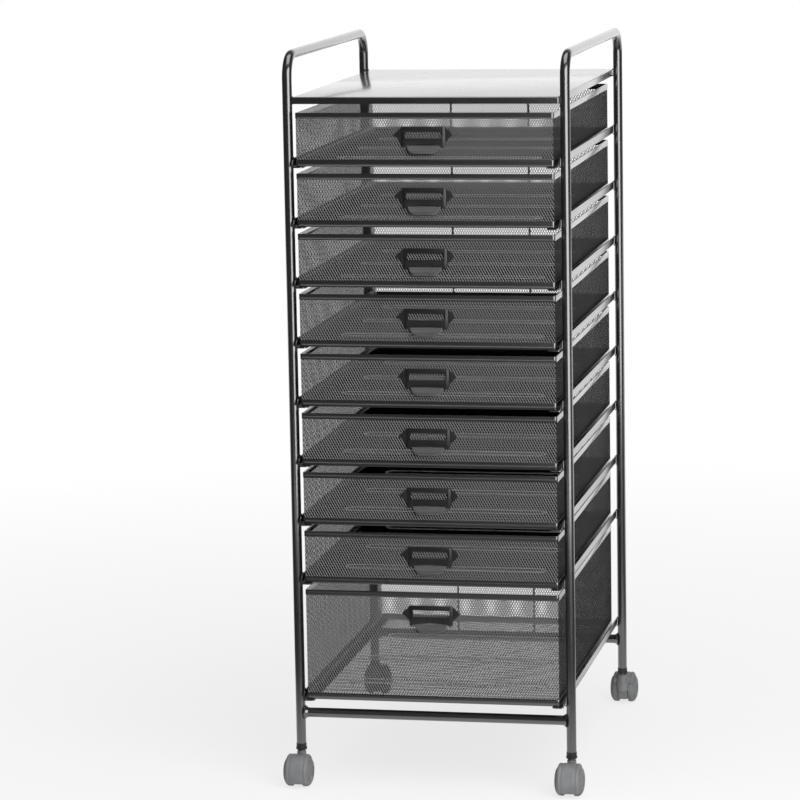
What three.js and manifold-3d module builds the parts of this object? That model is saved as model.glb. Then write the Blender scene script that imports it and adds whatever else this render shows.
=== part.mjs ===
// Mobile file cart: a bent tube frame on four twin-wheel casters, with a shelf on top, eight shallow
// mesh drawers and one deep one, all sliding on folded steel runners.
// Millimetres, +Z up, drawers open towards -Y. The origin is on the floor under the middle of the cart.
import * as THREE from 'three';
import { mergeVertices } from 'three/addons/utils/BufferGeometryUtils.js';
import Module from 'manifold-3d';

const wasm = await Module();
wasm.setup();

// Frame
const POST_SPACING_X = 361;
const POST_SPACING_Y = 476;
const TUBE_DIAMETER = 12.7;
const TUBE_WALL = 1.2;
const HANDLE_BEND_RADIUS = 30;
const HANDLE_RISE = 59;
const SEAT_GAP = 0.3;
const FOOT_BELOW_BAR = 47.1;
const ROD_DIAMETER = 3;
const ROD_SPACING = 110;
const ROD_TAIL = 4;

// Shelf
const SHELF_SHEET = 1.2;
const SHELF_LIP = 9;
const SHELF_OVERHANG = 6;
const SHELF_ABOVE_RIM = 10.5;

// Runners
const RUNNER_SHEET = 1.5;
const RUNNER_LEG = 12;
const RUNNER_LEDGE = 16;
const RUNNER_FRONT_OVERHANG = 18;
const RUNNER_ABOVE_BAR = 13.3;
const RUNNER_ABOVE_RIM = 7.2;

// Drawers
const SHALLOW_DRAWERS = 8;
const DRAWER_HEIGHT = 69;
const DRAWER_SIDE_PLAY = 4.4;
const DRAWER_FRONT_OVERHANG = 14;
const PANEL_SHEET = 0.8;
const BAND_SHEET = 2;
const BAND_PROUD = 0.6;
const RIM_BAND = 8;
const LOW_BAND = 9;
const OPENINGS_ACROSS = 11;
const OPENINGS_ALONG = 12;
const OPENING_WIDTH = 20;
const FLOOR_BAR = 16;

// Drawer pulls
const PULL_BELOW_RIM = 17.5;
const PULL_WIDTH = 77;
const PULL_TOP_WIDTH = 61;
const PULL_HEIGHT = 22;
const PULL_THICKNESS = 3;
const WINDOW_WIDTH = 52;
const WINDOW_HEIGHT = 10;
const TONGUE_ROOT_WIDTH = 43;
const TONGUE_TIP_WIDTH = 24;
const TONGUE_RADIUS = 12;
const TONGUE_SHEET = 2.4;
const TONGUE_SWEEP = THREE.MathUtils.degToRad(80);

// Casters
const WHEEL_DIAMETER = 40;
const WHEEL_WIDTH = 12.2;
const WHEEL_TREAD = 4.4;
const WHEEL_FACE_DIAMETER = 14;
const WHEEL_CHAMFER = 0.8;
const WHEEL_SIDE_PLAY = 0.35;
const WHEEL_TOP_PLAY = 0.8;
const AXLE_DIAMETER = 6;
const AXLE_PLAY = 0.3;
const CASTER_TRAIL = 19;
const SPINE_WIDTH = 12.8;
const SPINE_FLOOR_GAP = 6.4;
const FENDER_SHEET = 1.8;
const FENDER_WIDTH = 28.6;
const FENDER_FRONT = THREE.MathUtils.degToRad(-37);
const FENDER_BACK = THREE.MathUtils.degToRad(150);
const NECK_DIAMETER = 12;
const STEM_DIAMETER = 7;
const STEM_PLAY = 0.3;
const STEM_SOCKET_DEPTH = 20;
const STEM_BARE = 2;
const STEM_GRIP = 38;
const FLANGE_DIAMETER = 14.6;
const FLANGE_HEIGHT = 3;

// How finely round shapes are faceted
const TUBE_HALF_SIDES = 8;
const BEND_STEPS = 6;
const WHEEL_SIDES = 24;
const DOME_STEPS = 5;
const FENDER_SIDES = 36;
const FENDER_STEPS = 6;
const ROUND_SIDES = 16;
const ARC_STEPS = 9;
const ROD_SIDES = 10;

// Places that follow from the sizes above
const postX = POST_SPACING_X / 2;
const postY = POST_SPACING_Y / 2;
const tubeRadius = TUBE_DIAMETER / 2;
const tubeBore = tubeRadius - TUBE_WALL;
const wheelRadius = WHEEL_DIAMETER / 2;
const wheelCorner = wheelRadius / Math.cos(Math.PI / WHEEL_SIDES);
const wheelInner = SPINE_WIDTH / 2 + WHEEL_SIDE_PLAY;
const wheelOuter = wheelInner + WHEEL_WIDTH;
const treadEnd = wheelInner + WHEEL_TREAD;
const domeDepth = WHEEL_WIDTH - WHEEL_TREAD;
const fenderInner = wheelCorner + WHEEL_TOP_PLAY;
const fenderOuter = fenderInner + FENDER_SHEET;
const hoodTop = wheelRadius + fenderOuter;
const flangeLow = hoodTop + STEM_BARE;
const flangeTop = flangeLow + FLANGE_HEIGHT;
const postFoot = flangeTop + SEAT_GAP;
const barZ = postFoot + FOOT_BELOW_BAR;
const lowestLedge = barZ + tubeRadius + RUNNER_ABOVE_BAR;
const runnerPitch = RUNNER_SHEET + SEAT_GAP + DRAWER_HEIGHT + RUNNER_ABOVE_RIM;
const deepHeight = DRAWER_HEIGHT + runnerPitch;
const innerTangent = postX - tubeRadius - SEAT_GAP;
const drawerHalf = innerTangent - RUNNER_SHEET - DRAWER_SIDE_PLAY;
const drawerFront = -postY - DRAWER_FRONT_OVERHANG;
const rodRadius = ROD_DIAMETER / 2;
const rodY = postY - tubeRadius - SEAT_GAP - rodRadius;
const drawerBack = rodY - rodRadius - SEAT_GAP;
const drawerCount = SHALLOW_DRAWERS + 1;

// Drawer 1 is the top one. The deep drawer at the bottom takes the height of two.
function ledgeBottom(number) {
  if (number === drawerCount) return lowestLedge;
  return lowestLedge + (drawerCount - number + 1) * runnerPitch;
}

function drawerFloor(number) {
  return ledgeBottom(number) + RUNNER_SHEET + SEAT_GAP;
}

function rimTop(number) {
  const height = number === drawerCount ? deepHeight : DRAWER_HEIGHT;
  return drawerFloor(number) + height;
}

const shelfTop = rimTop(1) + SHELF_ABOVE_RIM + SHELF_LIP;
const handleZ = shelfTop + HANDLE_RISE - tubeRadius;

// Finishes
function finish(color, roughness, metalness) {
  return new THREE.MeshStandardMaterial({ color, roughness, metalness });
}

const blackCoat = finish(0x1c1c1e, 0.4, 0.3);
const blackPlastic = finish(0x131315, 0.5, 0);
const greyPlastic = finish(0x7f8083, 0.55, 0);
const greyTread = finish(0x6d6e71, 0.7, 0);
const plainSteel = finish(0xb4b6b9, 0.3, 0.9);

// Joining and cutting
function toSolid(geometry) {
  const bare = geometry.clone();
  bare.deleteAttribute('normal');
  bare.deleteAttribute('uv');
  const merged = mergeVertices(bare, 1e-4);
  return new wasm.Manifold(new wasm.Mesh({
    numProp: 3,
    vertProperties: new Float32Array(merged.attributes.position.array),
    triVerts: new Uint32Array(merged.index.array),
  }));
}

function toGeometry(body) {
  const mesh = body.getMesh();
  const geometry = new THREE.BufferGeometry();
  geometry.setAttribute('position', new THREE.BufferAttribute(mesh.vertProperties, 3));
  geometry.setIndex(new THREE.BufferAttribute(mesh.triVerts, 1));
  return geometry;
}

function boxBetween(low, high) {
  const size = high.map((value, i) => value - low[i]);
  const box = new THREE.BoxGeometry(...size);
  box.translate(...low.map((value, i) => value + size[i] / 2));
  return box;
}

// A shape drawn in X and Z, made thick towards -Y from the plane y
function plateFacingFront(shape, y, thickness) {
  const plate = new THREE.ExtrudeGeometry(shape, { depth: thickness, bevelEnabled: false });
  plate.rotateX(Math.PI / 2);
  plate.translate(0, y, 0);
  return plate;
}

// A shape drawn in Y and Z, made thick along X and centred on x = 0
function plateAcross(shape, width) {
  const options = { depth: width, bevelEnabled: false, curveSegments: ARC_STEPS };
  const plate = new THREE.ExtrudeGeometry(shape, options);
  plate.rotateX(Math.PI / 2);
  plate.rotateZ(Math.PI / 2);
  plate.translate(-width / 2, 0, 0);
  return plate;
}

function uprightCylinder(radius, low, high, sides) {
  const cylinder = new THREE.CylinderGeometry(radius, radius, high - low, sides);
  cylinder.rotateX(Math.PI / 2);
  cylinder.translate(0, 0, (low + high) / 2);
  return cylinder;
}

function polygon(points) {
  return new THREE.Shape(points.map(([x, y]) => new THREE.Vector2(x, y)));
}

// The section of the frame's tube
function tubeSection() {
  const section = new THREE.Shape();
  section.absarc(0, 0, tubeRadius, 0, 2 * Math.PI);
  const bore = new THREE.Path();
  bore.absarc(0, 0, tubeBore, 0, 2 * Math.PI, true);
  section.holes.push(bore);
  return section;
}

// A path with stations only where the tube needs them: at its ends and through its bends
class BentTubePath extends THREE.Curve {
  constructor(stations) {
    super();
    this.stations = stations;
  }

  station(u) {
    return this.stations[Math.round(u * (this.stations.length - 1))];
  }

  getPointAt(u) {
    return this.station(u).point.clone();
  }

  getTangentAt(u) {
    return this.station(u).tangent.clone();
  }
}

function station(y, z, tangentY, tangentZ) {
  return { point: new THREE.Vector3(0, y, z), tangent: new THREE.Vector3(0, tangentY, tangentZ) };
}

// One side of the frame: front post, handle and rear post in one bent tube
function sideTube() {
  const bendY = postY - HANDLE_BEND_RADIUS;
  const bendZ = handleZ - HANDLE_BEND_RADIUS;
  const stations = [station(-postY, postFoot, 0, 1)];
  for (let step = 0; step <= BEND_STEPS; step += 1) {
    const turn = (step / BEND_STEPS) * Math.PI / 2;
    const [sin, cos] = [Math.sin(turn), Math.cos(turn)];
    const [y, z] = [-bendY - HANDLE_BEND_RADIUS * cos, bendZ + HANDLE_BEND_RADIUS * sin];
    stations.push(station(y, z, sin, cos));
  }
  for (let step = 0; step <= BEND_STEPS; step += 1) {
    const turn = (step / BEND_STEPS) * Math.PI / 2;
    const [sin, cos] = [Math.sin(turn), Math.cos(turn)];
    stations.push(station(bendY + HANDLE_BEND_RADIUS * sin, bendZ + HANDLE_BEND_RADIUS * cos, cos, -sin));
  }
  stations.push(station(postY, postFoot, 0, -1));
  return new THREE.ExtrudeGeometry(tubeSection(), {
    steps: stations.length - 1,
    extrudePath: new BentTubePath(stations),
    curveSegments: TUBE_HALF_SIDES,
    bevelEnabled: false,
  });
}

// A straight tube from post to post
function crossBar() {
  const length = 2 * innerTangent;
  const bar = new THREE.ExtrudeGeometry(tubeSection(), {
    depth: length,
    curveSegments: TUBE_HALF_SIDES,
    bevelEnabled: false,
  });
  bar.translate(0, 0, -length / 2);
  bar.rotateY(Math.PI / 2);
  return bar;
}

// A sheet with its four edges turned down
function shelf() {
  const y = postY + SHELF_OVERHANG;
  const outer = boxBetween([-innerTangent, -y, shelfTop - SHELF_LIP], [innerTangent, y, shelfTop]);
  const [insideX, insideY] = [innerTangent - SHELF_SHEET, y - SHELF_SHEET];
  const under = boxBetween(
    [-insideX, -insideY, shelfTop - 2 * SHELF_LIP],
    [insideX, insideY, shelfTop - SHELF_SHEET],
  );
  return toGeometry(toSolid(outer).subtract(toSolid(under)));
}

// A folded angle: an upright leg against the posts and a ledge under the drawer
function runner(side, number) {
  const low = ledgeBottom(number);
  const outline = [
    [innerTangent, low],
    [innerTangent, low + RUNNER_LEG],
    [innerTangent - RUNNER_SHEET, low + RUNNER_LEG],
    [innerTangent - RUNNER_SHEET, low + RUNNER_SHEET],
    [innerTangent - RUNNER_LEDGE, low + RUNNER_SHEET],
    [innerTangent - RUNNER_LEDGE, low],
  ].map(([x, z]) => [side * x, z]);
  const rear = postY + tubeRadius;
  return plateFacingFront(polygon(outline), rear, rear + postY + RUNNER_FRONT_OVERHANG);
}

// A frame of flat band around the basket between two heights
function bandRing(low, high) {
  const outer = boxBetween([-drawerHalf, drawerFront, low], [drawerHalf, drawerBack, high]);
  const inner = boxBetween(
    [-drawerHalf + BAND_SHEET, drawerFront + BAND_SHEET, low - BAND_SHEET],
    [drawerHalf - BAND_SHEET, drawerBack - BAND_SHEET, high + BAND_SHEET],
  );
  return toSolid(outer).subtract(toSolid(inner));
}

// The two sides of each opening in a row of equally spaced ones
function openingsBetween(start, end, count) {
  const pitch = (end - start) / count;
  return Array.from({ length: count }, (_, index) => {
    const middle = start + (index + 0.5) * pitch;
    return [middle - OPENING_WIDTH / 2, middle + OPENING_WIDTH / 2];
  });
}

// A plain grid of openings in place of the fine mesh: upright slots in the four walls, which run on
// behind the bands, and two rows of slots in the floor
function gridOpenings(x, front, back, low, high) {
  const [wallLow, wallHigh] = [low + LOW_BAND - BAND_SHEET, high - RIM_BAND + BAND_SHEET];
  const floorRows = [
    [front + FLOOR_BAR, (front + back - FLOOR_BAR) / 2],
    [(front + back + FLOOR_BAR) / 2, back - FLOOR_BAR],
  ];
  const openings = [];
  openingsBetween(-x, x, OPENINGS_ACROSS).forEach(([left, right]) => {
    openings.push(boxBetween([left, front - BAND_SHEET, wallLow], [right, back + BAND_SHEET, wallHigh]));
    floorRows.forEach(([near, far]) => {
      openings.push(boxBetween([left, near, low - BAND_SHEET], [right, far, low + BAND_SHEET]));
    });
  });
  openingsBetween(front, back, OPENINGS_ALONG).forEach(([near, far]) => {
    openings.push(boxBetween([-x - BAND_SHEET, near, wallLow], [x + BAND_SHEET, far, wallHigh]));
  });
  return openings;
}

// An open basket: thin panels with a grid of openings, a band around the rim and another around the foot
function basket(number) {
  const [low, high] = [drawerFloor(number), rimTop(number)];
  const [x, front, back] = [drawerHalf - BAND_PROUD, drawerFront + BAND_PROUD, drawerBack - BAND_PROUD];
  const outer = boxBetween([-x, front, low], [x, back, high]);
  const inner = boxBetween(
    [-x + PANEL_SHEET, front + PANEL_SHEET, low + PANEL_SHEET],
    [x - PANEL_SHEET, back - PANEL_SHEET, high + PANEL_SHEET],
  );
  const walls = toSolid(outer).subtract(toSolid(inner));
  const openings = gridOpenings(x, front, back, low, high);
  const panels = openings.reduce((body, opening) => body.subtract(toSolid(opening)), walls);
  const rim = bandRing(high - RIM_BAND, high);
  const foot = bandRing(low, low + LOW_BAND);
  return toGeometry(panels.add(rim).add(foot));
}

// The pull: a six-sided plate with a label window, and a tongue that curls forward under it
function pull(number) {
  const top = rimTop(number) - PULL_BELOW_RIM;
  const middle = top - PULL_HEIGHT / 2;
  const low = top - PULL_HEIGHT;
  const back = drawerFront + BAND_PROUD - SEAT_GAP;
  const face = back - PULL_THICKNESS;
  const plate = polygon([
    [-PULL_WIDTH / 2, middle],
    [-PULL_TOP_WIDTH / 2, low],
    [PULL_TOP_WIDTH / 2, low],
    [PULL_WIDTH / 2, middle],
    [PULL_TOP_WIDTH / 2, top],
    [-PULL_TOP_WIDTH / 2, top],
  ]);
  const [halfWidth, halfHeight] = [WINDOW_WIDTH / 2, WINDOW_HEIGHT / 2];
  plate.holes.push(polygon([
    [-halfWidth, middle - halfHeight],
    [-halfWidth, middle + halfHeight],
    [halfWidth, middle + halfHeight],
    [halfWidth, middle - halfHeight],
  ]));
  // The tongue's side view is an arc whose centre lies in front of the plate's lower edge.
  const strip = new THREE.Shape();
  const [centreY, root] = [face - TONGUE_RADIUS, low + TONGUE_SHEET];
  strip.absarc(centreY, root, TONGUE_RADIUS, 0, -TONGUE_SWEEP, true);
  strip.absarc(centreY, root, TONGUE_RADIUS + TONGUE_SHEET, -TONGUE_SWEEP, 0, false);
  const tip = root - TONGUE_RADIUS - 2 * TONGUE_SHEET;
  const outline = polygon([
    [-TONGUE_ROOT_WIDTH / 2, root],
    [-TONGUE_TIP_WIDTH / 2, tip],
    [TONGUE_TIP_WIDTH / 2, tip],
    [TONGUE_ROOT_WIDTH / 2, root],
  ]);
  const reach = TONGUE_RADIUS + PULL_THICKNESS;
  const cutter = toSolid(plateFacingFront(outline, back, reach + PULL_THICKNESS));
  const tongue = toSolid(plateAcross(strip, PULL_WIDTH)).intersect(cutter);
  return toGeometry(toSolid(plateFacingFront(plate, back, PULL_THICKNESS)).add(tongue));
}

// The stem stands in the post's lower end, with a flange under the post, and the hood turns on it.
function casterStem() {
  const pin = STEM_DIAMETER / 2;
  const grip = tubeBore - STEM_PLAY;
  const flange = FLANGE_DIAMETER / 2;
  const foot = hoodTop - STEM_SOCKET_DEPTH + STEM_PLAY;
  const profile = [
    [0, foot],
    [pin, foot],
    [pin, flangeLow],
    [flange, flangeLow],
    [flange, flangeTop],
    [grip, flangeTop],
    [grip, flangeTop + STEM_GRIP],
    [0, flangeTop + STEM_GRIP],
  ].map(([radius, z]) => new THREE.Vector2(radius, z));
  const stem = new THREE.LatheGeometry(profile, ROUND_SIDES);
  stem.rotateX(Math.PI / 2);
  return stem;
}

// The radius of a wheel at a distance x from the middle of the caster: a narrow tread beside the spine,
// then an elliptic dome that falls away to the flat middle of the outer face
function wheelRadiusAt(x) {
  const across = Math.min(Math.max(Math.abs(x) - treadEnd, 0) / domeDepth, 1);
  const face = WHEEL_FACE_DIAMETER / 2;
  return face + (wheelCorner - face) * Math.sqrt(1 - across * across);
}

// A closed profile of radius and distance along the axle, turned about the caster's axle
function turnedOnAxle(profile, sides, turn) {
  const points = profile.map(([radius, x]) => new THREE.Vector2(radius, x));
  const body = new THREE.LatheGeometry(points, sides, turn);
  body.rotateZ(-Math.PI / 2);
  body.translate(0, -CASTER_TRAIL, wheelRadius);
  return body;
}

// The fender follows the wheels with a steady gap, and reaches from low in front to behind the neck.
function casterFender() {
  const [over, under] = [[], []];
  for (let step = 0; step <= FENDER_STEPS; step += 1) {
    const x = FENDER_WIDTH * (step / FENDER_STEPS - 1 / 2);
    const inner = wheelRadiusAt(x) + WHEEL_TOP_PLAY;
    over.push([inner + FENDER_SHEET, x]);
    under.unshift([inner, x]);
  }
  const ring = toSolid(turnedOnAxle([...over, ...under, over[0]], FENDER_SIDES, Math.PI / FENDER_SIDES));
  const sector = new THREE.Shape();
  const [front, rear] = [Math.PI - FENDER_FRONT, Math.PI - FENDER_BACK];
  sector.moveTo(-CASTER_TRAIL, wheelRadius);
  sector.absarc(-CASTER_TRAIL, wheelRadius, WHEEL_DIAMETER, front, rear, true);
  return ring.intersect(toSolid(plateAcross(sector, 2 * FENDER_WIDTH)));
}

// The hood: a spine between the wheels, the fender over both, a neck round the stem and two stub axles.
// Here the stem is on the Z axis and the wheels trail towards -Y.
function casterHood() {
  const spine = new THREE.Shape();
  spine.absarc(-CASTER_TRAIL, wheelRadius, fenderInner + FENDER_SHEET / 2, 0, 2 * Math.PI);
  const web = toSolid(plateAcross(spine, SPINE_WIDTH));
  const under = boxBetween(
    [-SPINE_WIDTH, -CASTER_TRAIL - WHEEL_DIAMETER, -WHEEL_DIAMETER],
    [SPINE_WIDTH, WHEEL_DIAMETER, SPINE_FLOOR_GAP],
  );
  const neck = toSolid(uprightCylinder(NECK_DIAMETER / 2, wheelRadius, hoodTop, ROUND_SIDES));
  const socketLow = hoodTop - STEM_SOCKET_DEPTH;
  const socket = uprightCylinder(STEM_DIAMETER / 2 + STEM_PLAY, socketLow, flangeLow, ROUND_SIDES);
  const axleRadius = AXLE_DIAMETER / 2;
  const axle = new THREE.CylinderGeometry(axleRadius, axleRadius, 2 * wheelOuter, ROUND_SIDES);
  axle.rotateZ(Math.PI / 2);
  axle.translate(0, -CASTER_TRAIL, wheelRadius);
  const body = web.subtract(toSolid(under)).add(casterFender()).add(neck).add(toSolid(axle));
  return toGeometry(body.subtract(toSolid(socket)));
}

// A wheel on the stub axle, with a domed outer face and a flat facet on the floor
function casterWheel(side) {
  const bore = AXLE_DIAMETER / 2 + AXLE_PLAY;
  const profile = [[bore, wheelInner], [wheelCorner - WHEEL_CHAMFER, wheelInner]];
  profile.push([wheelCorner, wheelInner + WHEEL_CHAMFER]);
  for (let step = 0; step <= DOME_STEPS; step += 1) {
    const turn = (step / DOME_STEPS) * Math.PI / 2;
    const x = treadEnd + domeDepth * Math.sin(turn);
    profile.push([wheelRadiusAt(x), x]);
  }
  profile.push([bore, wheelOuter], [bore, wheelInner]);
  const wheel = turnedOnAxle(profile, WHEEL_SIDES, Math.PI / WHEEL_SIDES);
  // The other wheel of the pair is the same one turned end for end.
  if (side < 0) wheel.rotateY(Math.PI).translate(0, 0, WHEEL_DIAMETER);
  return wheel;
}

// The whole cart
const cart = new THREE.Group();

function addPiece(name, geometry, material, holder = cart) {
  const mesh = new THREE.Mesh(geometry, material);
  mesh.name = name;
  holder.add(mesh);
  return mesh;
}

const SIDES = [['left', -1], ['right', 1]];
const ENDS = [['front', -1], ['rear', 1]];

for (const [name, side] of SIDES) {
  addPiece(`${name}_side_tube`, sideTube(), blackCoat).position.x = side * postX;
  for (let number = 1; number <= drawerCount; number += 1) {
    addPiece(`runner_${name}_${number}`, runner(side, number), blackCoat);
  }
  const rod = uprightCylinder(rodRadius, barZ - ROD_TAIL, shelfTop - SHELF_SHEET - SEAT_GAP, ROD_SIDES);
  addPiece(`rear_stop_rod_${name}`, rod, blackCoat).position.set(side * ROD_SPACING / 2, rodY, 0);
}

for (const [name, end] of ENDS) {
  addPiece(`${name}_cross_bar`, crossBar(), blackCoat).position.set(0, end * postY, barZ);
}

addPiece('top_shelf', shelf(), blackCoat);

for (let number = 1; number <= drawerCount; number += 1) {
  addPiece(`drawer_${number}`, basket(number), blackCoat);
  addPiece(`drawer_pull_${number}`, pull(number), blackPlastic);
}

for (const [endName, end] of ENDS) {
  for (const [sideName, side] of SIDES) {
    const caster = new THREE.Group();
    caster.position.set(side * postX, end * postY, 0);
    caster.rotation.z = end > 0 ? Math.PI : 0;
    const place = `caster_${endName}_${sideName}`;
    addPiece(`${place}_stem`, casterStem(), plainSteel, caster);
    addPiece(`${place}_hood`, casterHood(), greyPlastic, caster);
    // A rear caster is turned round, so its own left is the cart's right.
    for (const [wheelName, wheelSide] of SIDES) {
      addPiece(`${place}_wheel_${wheelName}`, casterWheel(-end * wheelSide), greyTread, caster);
    }
    cart.add(caster);
  }
}

export default cart;
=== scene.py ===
"""A mobile file cart with nine mesh drawers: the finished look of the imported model."""

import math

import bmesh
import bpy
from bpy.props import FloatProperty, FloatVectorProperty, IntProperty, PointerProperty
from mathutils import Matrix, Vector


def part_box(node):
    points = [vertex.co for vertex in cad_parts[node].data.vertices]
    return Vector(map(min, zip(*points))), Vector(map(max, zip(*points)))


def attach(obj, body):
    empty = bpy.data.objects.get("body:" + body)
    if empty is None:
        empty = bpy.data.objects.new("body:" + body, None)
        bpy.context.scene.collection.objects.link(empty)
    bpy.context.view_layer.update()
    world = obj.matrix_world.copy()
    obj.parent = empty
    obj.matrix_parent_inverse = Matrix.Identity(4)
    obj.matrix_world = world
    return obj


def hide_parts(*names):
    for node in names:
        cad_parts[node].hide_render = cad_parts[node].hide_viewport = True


bl_info = {
    "name": "Mobile File Cart",
    "version": (1, 0, 0),
    "blender": (4, 5, 0),
    "location": "View3D > Sidebar > File Cart",
    "description": "Models the finished tubes, mesh drawers, pulls and casters of a rolling file cart",
    "category": "Object",
}

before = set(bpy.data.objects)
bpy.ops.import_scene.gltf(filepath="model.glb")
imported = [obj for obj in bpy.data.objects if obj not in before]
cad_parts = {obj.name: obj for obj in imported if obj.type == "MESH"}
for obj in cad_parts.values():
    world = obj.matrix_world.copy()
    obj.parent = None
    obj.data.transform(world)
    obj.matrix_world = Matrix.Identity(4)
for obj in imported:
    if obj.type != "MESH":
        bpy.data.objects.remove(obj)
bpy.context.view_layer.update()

SIDES = (("left", -1), ("right", 1))
ENDS = (("front", -1), ("rear", 1))
BOTH_WAYS = (-1, 1)
DRAWER_NUMBERS = range(1, 10)  # from the top down
ACROSS = Vector((1, 0, 0))
ALONG = Vector((0, 1, 0))
UP = Vector((0, 0, 1))
QUARTER_TURN, HALF_TURN, FULL_TURN = math.pi / 2, math.pi, 2 * math.pi

# Edges sharper than this, in degrees, stay crisp
CREASE = 35

# Facets round the small round parts
ROD_SIDES = 16
RIB_SIDES = 8
STEM_SIDES = 32
HOOD_SIDES = 40
WHEEL_SIDES = 64
FLOOR_SIDES = 96

# Steps through one rounding or curve
FOLD_STEPS = 4
BAND_CORNER_STEPS = 5
RIB_BEND_STEPS = 10
ARCH_CUTS = 11
TONGUE_CUTS = 15
TONGUE_STEPS = 12
DOME_STEPS = 14
FENDER_STEPS = 26

# Which of those steps carry a groove, counted from the edge
DOME_GROOVE = 7
FENDER_GROOVES = (4, 5)


# Sizes and colours

def length(name, description, default):
    """A size in metres."""
    return FloatProperty(
        name=name, description=description, default=default, unit="LENGTH", precision=5)


def angle(name, description, degrees):
    """An angle, written in degrees."""
    return FloatProperty(
        name=name, description=description, default=math.radians(degrees), subtype="ANGLE")


def share(name, description, default):
    """A share between 0 and 1."""
    return FloatProperty(
        name=name, description=description, default=default, subtype="FACTOR", min=0, max=1)


def power(name, description, default):
    """A lamp's power in watts."""
    return FloatProperty(name=name, description=description, default=default, unit="POWER", min=0)


def focal(name, description, default):
    """A size of the camera in millimetres."""
    return FloatProperty(name=name, description=description, default=default, unit="CAMERA")


def count(name, description, default, least):
    """A whole number."""
    return IntProperty(name=name, description=description, default=default, min=least)


def colour(name, description, default):
    """A linear colour."""
    return FloatVectorProperty(
        name=name, description=description, default=default, subtype="COLOR", min=0, max=1)


class CartFrameSizes(bpy.types.PropertyGroup):
    """Details of the welded frame, beyond what its solids give."""

    handle_bend: length("Handle bend", "Radius of the handle's bends, at the tube's middle", 0.030)
    tube_sides: count("Tube sides", "Facets round a frame tube", 32, 12)
    bend_steps: count("Bend steps", "Rings through one bend", 14, 4)
    fillet_reach: length("Weld reach", "How far a bar's weld fillet runs along the bar", 0.0052)
    fillet_rise: length("Weld rise", "How far a bar's weld fillet stands above the bar", 0.0030)
    bead: length("Weld bead", "Half the thickness of a tack weld", 0.0012)
    bead_run: length("Weld bead run", "Half the length of a tack weld", 0.0034)
    fold: length("Sheet fold", "Outer radius of the folds in the shelf and the runners", 0.0022)
    shelf_sheet: length("Shelf sheet", "Thickness of the shelf", 0.0012)
    runner_sheet: length("Runner sheet", "Thickness of a runner", 0.0015)
    runner_corner: length("Runner corner", "Radius of a runner's free corners", 0.0045)
    runner_nose: length("Runner nose", "How far the front of a runner's leg is cut back", 0.0140)


class CartDrawerSizes(bpy.types.PropertyGroup):
    """Details of the mesh drawers."""

    rim_band: length("Rim band", "Height of the flat band round the rim", 0.0078)
    low_band: length("Low band", "Height of the flat band round the foot", 0.0088)
    band_sheet: length("Band thickness", "Thickness of both bands", 0.0018)
    band_corner: length("Band corner", "Outer radius of the bands' corners", 0.0030)
    band_edge: length("Band edge", "Rounding of the bands' long edges", 0.0005)
    net_inset: length("Net inset", "How far the mesh lies inside the bands' outer face", 0.0010)
    hole_pitch: length("Hole pitch", "Distance between holes along a row of the mesh", 0.0035)
    strand_slant: angle("Strand slant", "Lean of the mesh strands from upright", 28.3)
    strand_width: length("Strand width", "Width of a mesh strand", 0.00092)
    floor_strand: length("Floor strand width", "Width of a strand in a shallow floor", 0.0013)
    strand_sheet: length("Strand thickness", "Thickness of a mesh strand", 0.00024)
    floor_sheet: length("Floor strand thickness", "Thickness of a strand in a shallow floor", 0.0006)
    side_sheet: length("Side strand thickness", "Thickness of a strand in the sides", 0.00044)
    deep: length("Deep drawer", "Height above which a drawer counts as deep", 0.1)
    strand_twist: angle("Strand twist", "Turn of a strand's flat out of the mesh", 24)
    strand_lift: length("Strand lift", "How far each layer lies off the mesh's middle", 0.00003)
    rib_count: count("Ribs", "Stiffening ribs across each floor", 3, 0)
    rib_length: length("Rib length", "Length of a rib, across the drawer", 0.270)
    rib_width: length("Rib width", "Width of a rib, front to back", 0.022)
    rib_pitch: length("Rib pitch", "Distance between ribs", 0.135)
    rib_crest: length("Rib crest", "Half the thickness of a rib's raised edge", 0.0011)


class CartPullSizes(bpy.types.PropertyGroup):
    """Details of the moulded drawer pulls."""

    plate_height: length("Plate height", "Height of the label frame", 0.0265)
    wing_root: length("Wing root", "Half the height of a wing where it meets the label frame", 0.0098)
    wing_tip: length("Wing tip", "Half the height of a wing's blunt tip", 0.0012)
    wing_blunt: length("Wing blunting", "How far a wing's blunt tip runs along the wing", 0.0010)
    wing_sheet: length("Wing thickness", "Thickness of the pointed wings", 0.0018)
    frame_width: length("Frame width", "Width of the raised label frame", 0.0575)
    frame_sheet: length("Frame thickness", "Thickness of the raised label frame", 0.0040)
    frame_slope: length("Frame slope", "How far the frame's sides slope back", 0.0013)
    window_width: length("Window width", "Width of the label window", 0.0505)
    window_height: length("Window height", "Height of the label window", 0.0092)
    window_drop: length("Window drop", "How far the window lies below the frame's top", 0.0058)
    arch: length("Arch", "Rise of the frame's lower edge above the tongue", 0.0036)
    tongue_width: length("Tongue width", "Width of the finger tongue at its root", 0.043)
    tongue_tip: share("Tongue tip", "Tip width as a share of the root", 0.56)
    tongue_radius: length("Tongue radius", "Radius of the tongue's curl", 0.0102)
    tongue_sweep: angle("Tongue sweep", "How far the tongue curls forward", 80)
    tongue_sheet: length("Tongue thickness", "Thickness of the tongue", 0.0023)
    edge: length("Edge", "Rounding of the moulded edges", 0.0006)


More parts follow.
